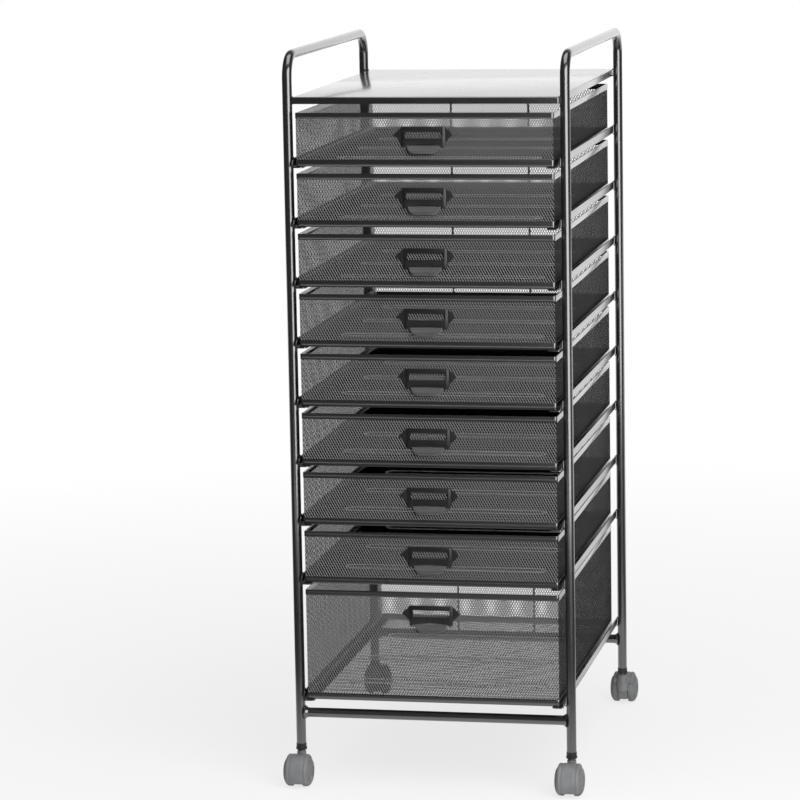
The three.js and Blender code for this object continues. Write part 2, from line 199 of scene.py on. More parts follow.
class CartCasterSizes(bpy.types.PropertyGroup):
    """Details of the twin-wheel casters."""

    trail: length("Trail", "Distance from the stem to the axle", 0.019)
    face: length("Wheel face", "Radius of the flat middle of a wheel's outer face", 0.0070)
    tread: length("Tread", "Width of the flat tread beside the spine", 0.0044)
    edge: length("Edge", "Rounding of the edges of the wheels and the spine", 0.0008)
    ring_groove: length("Ring groove", "Depth of the groove round a wheel's outer face", 0.0006)
    recess: length("Recess", "Depth of the ring round a wheel's hub", 0.0014)
    hub: length("Hub", "Radius of a wheel's hub", 0.0042)
    axle_hole: length("Axle hole", "Radius of the hole through a wheel", 0.0022)
    play: length("Play", "Gap between the wheels and the fender", 0.0008)
    fender_sheet: length("Fender thickness", "Thickness of the fender", 0.0018)
    fender_width: length("Fender width", "Width of the fender", 0.0286)
    fender_groove: length("Fender groove", "Depth of the grooves along the fender", 0.0005)
    fender_edge: length("Fender edge", "How much thinner the fender is along its sides", 0.0007)
    fender_front: angle("Fender front", "Front edge of the fender, up from level", -37)
    fender_back: angle("Fender back", "Back edge of the fender, up from level in front", 150)
    spine: length("Spine", "Width of the spine between the wheels", 0.0128)
    spine_gap: length("Spine gap", "Height of the spine above the floor", 0.0064)
    neck: length("Neck", "Radius of the neck round the stem", 0.0060)
    stem: length("Stem", "Radius of the bare stem", 0.0035)
    flange_gap: length("Flange gap", "Height of the flange above the neck", 0.0020)
    sleeve: length("Sleeve", "How far the flange's sleeve reaches up the post", 0.0055)


class CartFinishes(bpy.types.PropertyGroup):
    """Colours of the finishes, as they look in plain light; the mesh, rib and tongue colours also carry
    painted highlights.
    """

    coat: colour("Powder coat", "Black powder coat on the frame", (0.009, 0.009, 0.010))
    # The same black coat as the frame, five times paler: partly its own colour, partly a painted
    # highlight standing in for the strands' glints.
    mesh: colour("Mesh coat", "Black powder coat on the mesh", (0.045, 0.045, 0.046))
    dull: colour("Dull mesh coat", "Coat of the drawers' sides, dulled by use", (0.016, 0.016, 0.017))
    # Pale rib crests: a painted highlight for the lit face of each stamped rib.
    wear_and_rib_highlight: colour("Highlighted ribs", "Powder coat worn thin along the floor ribs", (0.70, 0.69, 0.67))
    rubbed: colour("Rubbed coat", "Powder coat where it is rubbed", (0.085, 0.085, 0.088))
    plastic: colour("Pull plastic", "Black plastic of the pulls", (0.012, 0.012, 0.013))
    # Paler than the pull plastic: a painted highlight for the tongue's upturned face, lit from above.
    tongue_highlight: colour("Highlit plastic", "Tongues, dulled by fingers", (0.075, 0.075, 0.078))
    hood: colour("Caster grey", "Grey nylon of the caster hoods", (0.185, 0.188, 0.193))
    tread: colour("Wheel grey", "Grey of the wheels", (0.165, 0.168, 0.173))
    steel: colour("Zinc", "Zinc plate on the stems", (0.56, 0.57, 0.58))
    floor: colour("Floor", "Pale studio floor", (0.90, 0.90, 0.90))


class CartStage(bpy.types.PropertyGroup):
    """The camera and the studio light."""

    eye: FloatVectorProperty(name="Camera", description="Where the camera stands", unit="LENGTH",
                             subtype="TRANSLATION", default=(0.898, -4.819, 1.271))
    yaw: angle("Yaw", "Turn of the camera to the left of the cart's depth", 11.566)
    pitch: angle("Pitch", "Tilt of the camera below level", 9.191)
    roll: angle("Roll", "Roll of the camera", -1.0116)
    sensor: focal("Frame", "Width of the camera's frame", 36)
    lens: focal("Lens", "Focal length of the camera", 164.65)
    sky: share("Room light", "Strength of the even light from all round", 0.38)
    dim_side: share("Dim side", "Reflected light from behind the camera", 0.05)
    key: power("Key light", "Power of the tall light on the right", 28)
    top: power("Top light", "Power of the light overhead", 14)
    back: power("Back light", "Power of the light behind the cart", 2)
    low: power("Low light", "Power of the light low in front", 5)
    floor_radius: length("Floor radius", "Radius of the studio floor", 6.0)


# Materials

class Channel:
    """A socket in a node tree that can be used in sums."""

    def __init__(self, shop, socket):
        self.shop = shop
        self.socket = socket

    def sum_with(self, operation, left, right):
        return self.shop.node("ShaderNodeMath", {"operation": operation}, {0: left, 1: right})

    def __add__(self, other):
        return self.sum_with("ADD", self, other)

    __radd__ = __add__

    def __sub__(self, other):
        return self.sum_with("SUBTRACT", self, other)

    def __rsub__(self, other):
        return self.sum_with("SUBTRACT", other, self)

    def __mul__(self, other):
        return self.sum_with("MULTIPLY", self, other)

    __rmul__ = __mul__


class NodeShop:
    """Adds the nodes of one material or world."""

    def __init__(self, tree):
        self.tree = tree
        tree.nodes.clear()

    def node(self, kind, settings=None, sockets=None, output=0):
        """Adds a node, sets it up, fills or links its sockets, and gives back one of its outputs."""
        made = self.tree.nodes.new(kind)
        for name, value in (settings or {}).items():
            if name == "stops":
                for stop, (place, grey) in zip(made.color_ramp.elements, value):
                    stop.position = place
                    stop.color = (grey, grey, grey, 1)
            else:
                setattr(made, name, value)
        for name, value in (sockets or {}).items():
            if isinstance(value, Channel):
                self.tree.links.new(value.socket, made.inputs[name])
            else:
                made.inputs[name].default_value = value
        return Channel(self, made.outputs[output]) if made.outputs else None

    def place(self):
        """The point on the piece, in metres."""
        return self.node("ShaderNodeTexCoord", output="Object")

    def stretched(self, scale):
        """The point on the piece, with each axis stretched by its own factor."""
        return self.node("ShaderNodeMapping", None, {"Vector": self.place(), "Scale": scale})

    def depth(self, vector):
        """How far a point or direction reaches towards the back."""
        return self.node("ShaderNodeSeparateXYZ", None, {"Vector": vector}, output="Y")

    def ray(self, kind):
        """1 for rays of a kind and 0 for others."""
        return self.node("ShaderNodeLightPath", output=f"Is {kind} Ray")

    def noise(self, vector, scale, detail):
        """Noise about a middle of 0.5."""
        return self.node(
            "ShaderNodeTexNoise", None, {"Vector": vector, "Scale": scale, "Detail": detail})

    def ramp(self, value, low, high):
        """0 below low and 1 above high."""
        return self.node("ShaderNodeValToRGB", {"stops": ((low, 0), (high, 1))}, {"Fac": value})

    def between(self, value, limits, ends):
        """Runs evenly from one end to the other while the value runs between its limits."""
        return self.node("ShaderNodeMapRange", None, {
            "Value": value, "From Min": limits[0], "From Max": limits[1],
            "To Min": ends[0], "To Max": ends[1]})

    def blend(self, factor, first, second):
        """A colour between two colours."""
        return self.node(
            "ShaderNodeMix", {"data_type": "RGBA"}, {0: factor, 6: first, 7: second}, output=2)

    def bump(self, height, strength, distance):
        return self.node(
            "ShaderNodeBump", None, {"Height": height, "Strength": strength, "Distance": distance})

    def surface(self, sockets):
        """The finished surface of a material."""
        shader = self.node("ShaderNodeBsdfPrincipled", None, sockets)
        self.node("ShaderNodeOutputMaterial", None, {"Surface": shader})


def rgba(value):
    return (*value, 1.0)


def new_finish(name):
    """A new material and the shop that makes its nodes."""
    material = bpy.data.materials.new(name)
    material.use_nodes = True
    return material, NodeShop(material.node_tree)


def powder_coat(name, base, roughness, gloss, rub, grain=1500.0, shine=1.0):
    """Black powder coat: a fine orange peel, cloudy gloss and, where it is touched in use, rubbed
    streaks.
    """
    rubbed = bpy.context.scene.cart_finishes.rubbed
    material, shop = new_finish(name)
    place = shop.place()
    cloud = shop.noise(place, scale=11.0, detail=4.0)
    peel = shop.noise(place, scale=grain, detail=2.0)
    streak = shop.noise(shop.stretched((420.0, 14.0, 420.0)), scale=1.0, detail=4.0)
    wear_and_rib_highlight = shop.ramp(streak, low=0.60, high=0.74) * rub
    shop.surface({
        "Base Color": shop.blend(wear_and_rib_highlight, rgba(base), rgba(rubbed)),
        "Roughness": roughness + (cloud - 0.5) * 0.14 + wear_and_rib_highlight * 0.15,
        "Specular IOR Level": shine,
        "Coat Weight": gloss,
        "Coat Roughness": 0.14,
        "Coat IOR": 2.1,
        "Normal": shop.bump(peel, strength=0.10, distance=0.0003),
    })
    return material


def moulded_plastic(name, base, roughness, mottle=0.35):
    """Moulded plastic with a fine spark-eroded grain and paler clouds."""
    material, shop = new_finish(name)
    place = shop.place()
    grain = shop.noise(place, scale=2600.0, detail=3.0)
    cloud = shop.noise(place, scale=60.0, detail=3.0)
    patches = shop.ramp(cloud, low=0.42, high=0.78) * mottle
    paler = [min(1.0, part * 1.5 + 0.01) for part in base]
    shop.surface({
        "Base Color": shop.blend(patches, rgba(base), rgba(paler)),
        "Roughness": roughness + (grain - 0.5) * 0.25,
        "Normal": shop.bump(grain, strength=0.22, distance=0.0002),
    })
    return material


def zinc_plate(name, base, roughness):
    """Turned steel under thin zinc, with fine rings from the lathe."""
    material, shop = new_finish(name)
    rings = shop.noise(shop.stretched((60.0, 60.0, 6000.0)), scale=1.0, detail=2.0)
    shop.surface({
        "Base Color": rgba(base),
        "Metallic": 1.0,
        "Roughness": roughness + rings * 0.2,
        "Normal": shop.bump(rings, strength=0.15, distance=0.0001),
    })
    return material


FINISHES = {}


def make_finishes():
    """Makes each finish once."""
    tones = bpy.context.scene.cart_finishes
    fine = 2600.0
    FINISHES.update({
        "black_powder_coat": powder_coat(
            "black powder coat", tones.coat, roughness=0.30, gloss=1.0, rub=0.10),
        "shelf_coat": powder_coat(
            "shelf powder coat", tones.coat, roughness=0.27, gloss=1.0, rub=0.05),
        "runner_coat": powder_coat(
            "runner powder coat", tones.coat, roughness=0.34, gloss=0.8, rub=0.55),
        # The mesh's paler colour is partly a painted highlight for the strands' glints.
        "mesh_coat": powder_coat(
            "mesh powder coat", tones.mesh, roughness=0.30, gloss=0.15, rub=0.08, grain=fine,
            shine=0.9),
        "dull_mesh": powder_coat(
            "dull mesh coat", tones.dull, roughness=0.62, gloss=0.0, rub=0.15, grain=fine,
            shine=0.2),
        "flat_mesh": powder_coat(
            "flat mesh coat", tones.coat, roughness=0.80, gloss=0.0, rub=0.10, grain=fine,
            shine=0.0),
        # The ribs' pale colour is a painted highlight; its rubbed streaks are wear.
        "painted_rib_highlight": powder_coat("worn rib coat", tones.wear_and_rib_highlight, roughness=0.36, gloss=0.3, rub=0.6),
        "pull_plastic": moulded_plastic("pull plastic", tones.plastic, roughness=0.34),
        # The tongues' paler plastic is a painted highlight for their upturned faces.
        "highlighted_tongue_plastic": moulded_plastic("handled plastic", tones.tongue_highlight, roughness=0.46),
        "caster_grey": moulded_plastic("caster grey nylon", tones.hood, roughness=0.46, mottle=0.50),
        "wheel_grey": moulded_plastic("wheel grey nylon", tones.tread, roughness=0.52, mottle=0.60),
        "stem_steel": zinc_plate("zinc plated stem", tones.steel, roughness=0.24),
    })


# Modelling helpers

def mesh_of(bm, name):
    """Turns a bmesh into a mesh and frees it."""
    mesh = bpy.data.meshes.new(name)
    bm.to_mesh(mesh)
    bm.free()
    return mesh


def new_piece(bm, name, body, slot, replaced=(), crease=CREASE):
    """Turns a bmesh into a piece of the cart."""
    return piece_of(mesh_of(bm, name), name, body, slot, replaced, crease)


def piece_of(mesh, name, body, slot, replaced=(), crease=CREASE, finish=None):
    """Shows a mesh as a piece that rides on a body, smooth apart from edges past crease degrees."""
    if not mesh.polygons:
        raise RuntimeError(f"{name} has no faces")
    mesh.materials.clear()
    mesh.materials.append(FINISHES[finish or slot])
    mesh.shade_smooth()
    mesh.set_sharp_from_angle(angle=math.radians(crease))
    piece = bpy.data.objects.new(name, mesh)
    bpy.context.scene.collection.objects.link(piece)
    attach(piece, body)
    if replaced:
        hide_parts(*replaced)
    return piece


def moved_copy(mesh, matrix):
    """A copy of a mesh, moved to another place."""
    copy = mesh.copy()
    copy.transform(matrix)
    return copy


def join_into(bm, other):
    """Adds one bmesh to another and frees it."""
    carrier = mesh_of(other, "carrier")
    bm.from_mesh(carrier)
    bpy.data.meshes.remove(carrier)


def middle_of(node):
    low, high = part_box(node)
    return (low + high) / 2


def verts_in(geom):
    return [part for part in geom if isinstance(part, bmesh.types.BMVert)]


def edges_in(geom):
    return [part for part in geom if isinstance(part, bmesh.types.BMEdge)]


def folds_in(bm):
    """The edges within a bent sheet."""
    return [edge for edge in bm.edges if not edge.is_boundary]


def sharp_edges(bm, limit):
    """The edges between faces that meet at more than limit degrees."""
    turn = math.radians(limit)
    return [edge for edge in bm.edges if edge.is_manifold and edge.calc_face_angle() > turn]


def block(bm, low, high):
    """A block between two corners."""
    low, high = Vector(low), Vector(high)
    stretch = Matrix.Diagonal((*(high - low), 1))
    bmesh.ops.create_cube(bm, size=1, matrix=Matrix.Translation((low + high) / 2) @ stretch)


def soften(bm, geom, radius, segments=2, affect="EDGES"):
    """Rounds edges or corners off."""
    bmesh.ops.bevel(
        bm, geom=geom, affect=affect, offset=radius, segments=segments, profile=0.5, material=-1)


def close(bm):
    """Fills the open ends of a shape."""
    bmesh.ops.holes_fill(bm, edges=[edge for edge in bm.edges if edge.is_boundary], sides=0)


def split(bm, point, outwards, clear=False):
    """Splits the faces along a plane, and may clear what lies outside it."""
    geom = bm.verts[:] + bm.edges[:] + bm.faces[:]
    bmesh.ops.bisect_plane(bm, geom=geom, plane_co=point, plane_no=outwards, clear_outer=clear)


def trim(bm, point, outwards):
    """Cuts off what lies outside a plane and closes the cut."""
    split(bm, point, outwards, clear=True)
    close(bm)


def wire(bm, points, closed):
    """A chain of edges through a few points."""
    verts = [bm.verts.new(point) for point in points]
    pairs = list(zip(verts, verts[1:])) + ([(verts[-1], verts[0])] if closed else [])
    return [bm.edges.new(pair) for pair in pairs]


def turned(points, centre, axis, steps, sweep=FULL_TURN):
    """A closed outline swept round an axis: a full turn, or part of one with its two ends filled."""
    bm = bmesh.new()
    edges = wire(bm, points, closed=True)
    bmesh.ops.spin(
        bm, geom=edges, cent=centre, axis=axis, angle=sweep, steps=steps, use_merge=sweep == FULL_TURN)
    close(bm)
    bmesh.ops.remove_doubles(bm, verts=bm.verts[:], dist=1e-7)
    bmesh.ops.recalc_face_normals(bm, faces=bm.faces[:])
    return bm


def lathed(outline, steps):
    """An outline of radius and height turned round the Z axis."""
    return turned([Vector((radius, 0, z)) for radius, z in outline], Vector(), UP, steps)


class RoundBar:
    """A round bar drawn along straight runs and bends."""

    def __init__(self, bm, radius, start, heading, sides, capped=True):
        self.bm = bm
        self.centre = Vector(start)
        self.heading = Vector(heading)
        turn = UP.rotation_difference(self.heading).to_matrix().to_4x4()
        place = Matrix.Translation(self.centre) @ turn
        made = bmesh.ops.create_circle(
            bm, cap_ends=capped, segments=sides, radius=radius, matrix=place)
        self.ring = list({edge for vert in made["verts"] for edge in vert.link_edges})

    def run(self, reach, widen=1.0):
        """A straight run, whose end may be wider or narrower than its start."""
        made = bmesh.ops.extrude_edge_only(self.bm, edges=self.ring)["geom"]
        verts = verts_in(made)
        new = set(verts)
        bmesh.ops.translate(self.bm, verts=verts, vec=self.heading * reach)
        self.centre = self.centre + self.heading * reach
        bmesh.ops.scale(self.bm, verts=verts, vec=(widen,) * 3, space=Matrix.Translation(-self.centre))
        self.ring = [edge for edge in edges_in(made) if set(edge.verts) <= new]

    def bend(self, inward, axis, turn, steps):
        """A bend round a centre that lies the vector inward from the bar."""
        pivot = self.centre + Vector(inward)
        made = bmesh.ops.spin(self.bm, geom=self.ring, cent=pivot, axis=axis, angle=turn, steps=steps)
        spun = Matrix.Rotation(turn, 3, axis)
        self.centre = pivot + spun @ (self.centre - pivot)
        self.heading = spun @ self.heading
        self.ring = edges_in(made["geom_last"])

    def cap(self):
        """Closes the end."""
        bmesh.ops.holes_fill(self.bm, edges=self.ring, sides=0)
        bmesh.ops.recalc_face_normals(self.bm, faces=self.bm.faces[:])


# Frame

class CART_OT_side_tubes(bpy.types.Operator):
    """Model the two bent side tubes, each with both posts and the handle"""

    bl_idname = "cart.side_tubes"
    bl_label = "Side Tubes"

    def execute(self, context):
        sizes = context.scene.cart_frame
        bend = sizes.handle_bend
        for name, _ in SIDES:
            node = f"{name}_side_tube"
            low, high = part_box(node)
            radius = (high.x - low.x) / 2
            post = high.y - radius
            climb = high.z - radius - bend - low.z
            bm = bmesh.new()
            tube = RoundBar(bm, radius, ((low.x + high.x) / 2, -post, low.z), UP, sizes.tube_sides)
            tube.run(climb)
            tube.bend(ALONG * bend, ACROSS, -QUARTER_TURN, sizes.bend_steps)
            tube.run(2 * (post - bend))
            tube.bend(-UP * bend, ACROSS, -QUARTER_TURN, sizes.bend_steps)
            tube.run(climb)
            tube.cap()
            new_piece(bm, f"tube_{name}", "frame", "black_powder_coat", [node])
        return {"FINISHED"}


class CART_OT_cross_bars(bpy.types.Operator):
    """Model the two low bars, flared at both ends where they are welded to the posts"""

    bl_idname = "cart.cross_bars"
    bl_label = "Cross Bars"

    def execute(self, context):
        sizes = context.scene.cart_frame
        steep, gentle = 0.45 * sizes.fillet_reach, 0.55 * sizes.fillet_reach
        for name, _ in ENDS:
            node = f"{name}_cross_bar"
            low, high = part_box(node)
            middle = middle_of(node)
            radius = (high.z - low.z) / 2
            flare = (radius + sizes.fillet_rise) / radius
            waist = (radius + 0.25 * sizes.fillet_rise) / radius
            bm = bmesh.new()
            start = Vector((low.x - sizes.bead, middle.y, middle.z))
            bar = RoundBar(bm, radius * flare, start, ACROSS, sizes.tube_sides)
            bar.run(sizes.bead)
            bar.run(steep, waist / flare)
            bar.run(gentle, 1 / waist)
            bar.run(high.x - low.x - 2 * sizes.fillet_reach)
            bar.run(gentle, waist)
            bar.run(steep, flare / waist)
            bar.run(sizes.bead)
            bar.cap()
            new_piece(bm, f"bar_{name}", "frame", "black_powder_coat", [node])
        return {"FINISHED"}


class CART_OT_stop_rods(bpy.types.Operator):
    """Model the two thin rods that stop the drawers at the back"""

    bl_idname = "cart.stop_rods"
    bl_label = "Stop Rods"

    def execute(self, context):
        for name, _ in SIDES:
            node = f"rear_stop_rod_{name}"
            low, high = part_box(node)
            middle = middle_of(node)
            radius = (high.y - low.y) / 2
            rounding = radius * 0.4
            tip = radius - rounding
            bm = bmesh.new()
            rod = RoundBar(bm, tip, Vector((middle.x, middle.y, low.z)), UP, ROD_SIDES)
            rod.run(rounding, radius / tip)
            rod.run(high.z - low.z - 2 * rounding)
            rod.run(rounding, tip / radius)
            rod.cap()
            new_piece(bm, f"rod_{name}", "frame", "black_powder_coat", [node], crease=50)
        return {"FINISHED"}


class CART_OT_shelf(bpy.types.Operator):
    """Model the sheet shelf with its four edges folded down"""

    bl_idname = "cart.shelf"
    bl_label = "Shelf"

    def execute(self, context):
        sizes = context.scene.cart_frame
        bm = bmesh.new()
        block(bm, *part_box("top_shelf"))
        under = min(bm.faces, key=lambda face: face.calc_center_median().z)
        bmesh.ops.delete(bm, geom=[under], context="FACES_ONLY")
        soften(bm, folds_in(bm), sizes.fold, FOLD_STEPS)
        bmesh.ops.solidify(bm, geom=bm.faces[:], thickness=sizes.shelf_sheet)
        new_piece(bm, "shelf", "frame", "shelf_coat", ["top_shelf"])
        return {"FINISHED"}


def folded_runner(low, high, side):
    """An angle of folded sheet: a leg along the posts and a ledge, with round free corners."""
    sizes = bpy.context.scene.cart_frame
    outer, inner = (high.x, low.x) if side > 0 else (low.x, high.x)
    bm = bmesh.new()
    outline = [(outer, low.y, high.z), (outer, low.y, low.z), (inner, low.y, low.z)]
    edges = wire(bm, outline, closed=False)
    made = bmesh.ops.extrude_edge_only(bm, edges=edges)["geom"]
    bmesh.ops.translate(bm, verts=verts_in(made), vec=ALONG * (high.y - low.y))
    corners = [vert for vert in bm.verts if len(vert.link_edges) == 2]
    nose = min(corners, key=lambda vert: vert.co.y - vert.co.z)
    nose.co.y += sizes.runner_nose
    soften(bm, corners, sizes.runner_corner, FOLD_STEPS, affect="VERTICES")
    soften(bm, folds_in(bm), sizes.fold + sizes.runner_sheet / 2, FOLD_STEPS)
    bmesh.ops.recalc_face_normals(bm, faces=bm.faces[:])
    if bm.faces[0].normal.dot(Vector((side, 0, -1))) < 0:
        bmesh.ops.reverse_faces(bm, faces=bm.faces[:])
    bmesh.ops.solidify(bm, geom=bm.faces[:], thickness=sizes.runner_sheet)
    return bm


class CART_OT_runners(bpy.types.Operator):
    """Model the eighteen folded runners"""

    bl_idname = "cart.runners"
    bl_label = "Runners"

    def execute(self, context):
        for name, side in SIDES:
            for number in DRAWER_NUMBERS:
                node = f"runner_{name}_{number}"
                bm = folded_runner(*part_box(node), side)
                new_piece(bm, f"rail_{name}_{number}", "frame", "runner_coat", [node])
        return {"FINISHED"}


class CART_OT_welds(bpy.types.Operator):
    """Model the tack welds that hold the runners and the shelf to the posts"""

    bl_idname = "cart.welds"
    bl_label = "Welds"

    def execute(self, context):
        sizes = context.scene.cart_frame
        stretch = Matrix.Diagonal((sizes.bead, sizes.bead_run, sizes.bead, 1))
        bm = bmesh.new()
        for name, side in SIDES:
            low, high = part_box(f"{name}_side_tube")
            radius = (high.x - low.x) / 2
            post = high.y - radius
            seam = (low.x + high.x) / 2 - side * radius
            for node in ["top_shelf"] + [f"runner_{name}_{number}" for number in DRAWER_NUMBERS]:
                base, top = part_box(node)
                for _, end in ENDS:
                    for height in (base.z, top.z):
                        place = Matrix.Translation((seam, end * post, height))
                        bmesh.ops.create_icosphere(bm, subdivisions=2, radius=1, matrix=place @ stretch)
        new_piece(bm, "tack_welds", "frame", "black_powder_coat", crease=180)
        return {"FINISHED"}


# Drawers

def net_panel(width, height, strand, sheet, twist=0.0):
    """Mesh of two crossing layers of slanted strands, width by height about the origin in X and Y."""
    sizes = bpy.context.scene.cart_drawers
    lean = height * math.tan(sizes.strand_slant)
    spare = 4 * strand
    reach = height / math.cos(sizes.strand_slant) + spare
    steps = math.ceil((width + lean) / sizes.hole_pitch)
    half = Vector((strand, reach, sheet)) / 2
    bm = bmesh.new()
    for layer in BOTH_WAYS:
        first = Vector((-steps * sizes.hole_pitch / 2, 0, layer * sizes.strand_lift))
        slant = Matrix.Rotation(layer * sizes.strand_slant, 4, "Z")
        bar = bmesh.new()
        block(bar, -half, half)
        bar.transform(Matrix.Translation(first) @ slant @ Matrix.Rotation(layer * twist, 4, "Y"))
        laid = set(bm.verts)
        join_into(bm, bar)
        verts = [vert for vert in bm.verts if vert not in laid]
        edges = {edge for vert in verts for edge in vert.link_edges}
        faces = {face for vert in verts for face in vert.link_faces}
        bmesh.ops.spin(bm, geom=[*verts, *edges, *faces], axis=UP, angle=0, steps=steps,
                       dvec=ACROSS * sizes.hole_pitch, use_duplicate=True)
    for axis, limit in ((ACROSS, width / 2), (ALONG, height / 2)):
        for way in BOTH_WAYS:
            trim(bm, axis * way * limit, axis * way)
    return bm


def net_room(low, high):
    """The middle of a basket, and how far from it the mesh lies on each axis."""
    inset = Vector((1, 1, 1)) * bpy.context.scene.cart_drawers.net_inset
    return (low + high) / 2, (high - low) / 2 - inset


def end_nets(low, high):
    """The mesh of a drawer's front and back, whose strands lie twisted as expanding leaves them."""
    sizes = bpy.context.scene.cart_drawers
    middle, half = net_room(low, high)
    upright = Matrix.Rotation(QUARTER_TURN, 4, "X")
    bm = bmesh.new()
    for way in BOTH_WAYS:
        panel = net_panel(
            2 * half.x, 2 * half.z, sizes.strand_width, sizes.strand_sheet, sizes.strand_twist)
        panel.transform(Matrix.Translation(middle + ALONG * way * half.y) @ upright)
        join_into(bm, panel)
    return bm


def side_nets(low, high):
    """The mesh of a drawer's sides, whose rows of holes run upright."""
    sizes = bpy.context.scene.cart_drawers
    middle, half = net_room(low, high)
    rows_up = Matrix.Rotation(QUARTER_TURN, 4, "Z")
    sideways = Matrix.Rotation(QUARTER_TURN, 4, "Z") @ Matrix.Rotation(QUARTER_TURN, 4, "X")
    bm = bmesh.new()
    for way in BOTH_WAYS:
        panel = net_panel(2 * half.z, 2 * half.y, sizes.strand_width, sizes.side_sheet)
        panel.transform(rows_up)
        panel.transform(Matrix.Translation(middle + ACROSS * way * half.x) @ sideways)
        join_into(bm, panel)
    return bm


def floor_net(low, high):
    """The mesh of a drawer's floor, coarser in the shallow drawers."""
    sizes = bpy.context.scene.cart_drawers
    middle, half = net_room(low, high)
    strand, sheet = sizes.floor_strand, sizes.floor_sheet
    if high.z - low.z > sizes.deep:
        strand, sheet = sizes.strand_width, sizes.strand_sheet
    bm = net_panel(2 * half.x, 2 * half.y, strand, sheet)
    bm.transform(Matrix.Translation((middle.x, middle.y, low.z + sizes.floor_sheet)))
    return bm


def floor_ribs(low, high):
    """The ribs across the floor of a drawer."""
    sizes = bpy.context.scene.cart_drawers
    middle = (low + high) / 2
    bm = bmesh.new()
    for rib in range(sizes.rib_count):
        offset = (rib - (sizes.rib_count - 1) / 2) * sizes.rib_pitch
        join_into(bm, floor_rib(Vector((middle.x, middle.y + offset, low.z + 2 * sizes.floor_sheet))))
    return bm


def floor_rib(centre):
    """The raised edge of a stamped rib: a long loop with round ends."""
    sizes = bpy.context.scene.cart_drawers
    radius = sizes.rib_width / 2
    straight = sizes.rib_length - sizes.rib_width
    bm = bmesh.new()
    start = centre + Vector((-straight / 2, -radius, 0))
    crest = RoundBar(bm, sizes.rib_crest, start, ACROSS, RIB_SIDES, capped=False)
    for inward in (ALONG, -ALONG):
        crest.run(straight)
        crest.bend(inward * radius, UP, HALF_TURN, RIB_BEND_STEPS)
    bmesh.ops.remove_doubles(bm, verts=bm.verts[:], dist=1e-6)
    bmesh.ops.recalc_face_normals(bm, faces=bm.faces[:])
    return bm


def band_ring(low, high):
    """A flat band bent round the basket, with rounded corners and edges."""
    sizes = bpy.context.scene.cart_drawers
    bm = bmesh.new()
    block(bm, low, high)
    ends = [face for face in bm.faces if abs(face.normal.z) > 0.5]
    bmesh.ops.delete(bm, geom=ends, context="FACES_ONLY")
    soften(bm, folds_in(bm), sizes.band_corner, BAND_CORNER_STEPS)
    bmesh.ops.solidify(bm, geom=bm.faces[:], thickness=sizes.band_sheet)
    soften(bm, sharp_edges(bm, limit=60), sizes.band_edge)
    return bm


def drawer_bands(low, high):
    """The bands round the rim and the foot of a drawer."""
    sizes = bpy.context.scene.cart_drawers
    bm = band_ring(Vector((low.x, low.y, high.z - sizes.rim_band)), high)
    join_into(bm, band_ring(low, Vector((high.x, high.y, low.z + sizes.low_band))))
    return bm


class CART_OT_drawers(bpy.types.Operator):
    """Model the nine mesh drawers with their flat bands"""

    bl_idname = "cart.drawers"
    bl_label = "Drawers"

    def execute(self, context):
        made = {}
        for number in DRAWER_NUMBERS:
            node = f"drawer_{number}"
            body = f"drawer_unit_{number}"
            low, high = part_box(node)
            kind = round(high.z - low.z, 4)
            if kind not in made:
                makers = (drawer_bands, end_nets, side_nets, floor_net, floor_ribs)
                made[kind] = (low.z, [mesh_of(make(low, high), "drawer part") for make in makers])
            first, parts = made[kind]
            drop = Matrix.Translation(UP * (low.z - first))
            bands, ends, sides, floor, ribs = (moved_copy(part, drop) for part in parts)
            piece_of(bands, f"drawer_bands_{number}", body, "black_powder_coat", [node])
            piece_of(ends, f"drawer_mesh_{number}", body, "mesh_coat")
            piece_of(sides, f"drawer_sides_{number}", body, "mesh_coat", finish="dull_mesh")
            piece_of(floor, f"drawer_floor_{number}", body, "mesh_coat", finish="flat_mesh")
            # The ribs take the pale finish, a painted highlight along each rib.
            piece_of(ribs, f"drawer_ribs_{number}", body, "mesh_coat", finish="painted_rib_highlight")
        return {"FINISHED"}


# Pulls

def label_frame(top, back):
    """The raised frame round the label window, with an arched lower edge."""
    sizes = bpy.context.scene.cart_pulls
    half = sizes.frame_width / 2
    low = top - sizes.plate_height
    front = back - sizes.frame_sheet
    border = half - sizes.window_width / 2
    side_line = half - border / 2
    bm = bmesh.new()
    corners = ((-half, low), (half, low), (half, top), (-half, top))
    bm.faces.new([bm.verts.new((x, front, z)) for x, z in corners])
    bm.normal_update()
    bmesh.ops.inset_region(
        bm, faces=bm.faces[:], thickness=border, use_boundary=True, use_even_offset=True)
    window = next(face for face in bm.faces if all(abs(vert.co.x) < side_line for vert in face.verts))
    middle = window.calc_center_median().z
    window_top = top - sizes.window_drop
    for vert in window.verts:
        vert.co.z = window_top if vert.co.z > middle else window_top - sizes.window_height
    bmesh.ops.delete(bm, geom=[window], context="FACES_ONLY")
    for way in BOTH_WAYS:
        split(bm, ACROSS * way * sizes.window_width / 2, ACROSS)
    for vert in bm.verts:
        if abs(vert.co.x) > side_line:
            vert.co.y += sizes.frame_slope
    # Of the lowest edges, the arch is the one nearest to the middle.
    lower = min(bm.edges, key=lambda edge: sum(
        vert.co.z + abs(vert.co.x) * 1e-3 for vert in edge.verts))
    cuts = bmesh.ops.subdivide_edges(bm, edges=[lower], cuts=ARCH_CUTS)
    for vert in verts_in(cuts["geom_inner"]):
        vert.co.z = low + sizes.arch * (1 - (vert.co.x / half) ** 2)
    bm.normal_update()
    bmesh.ops.solidify(bm, geom=bm.faces[:], thickness=sizes.frame_sheet)
    return bm


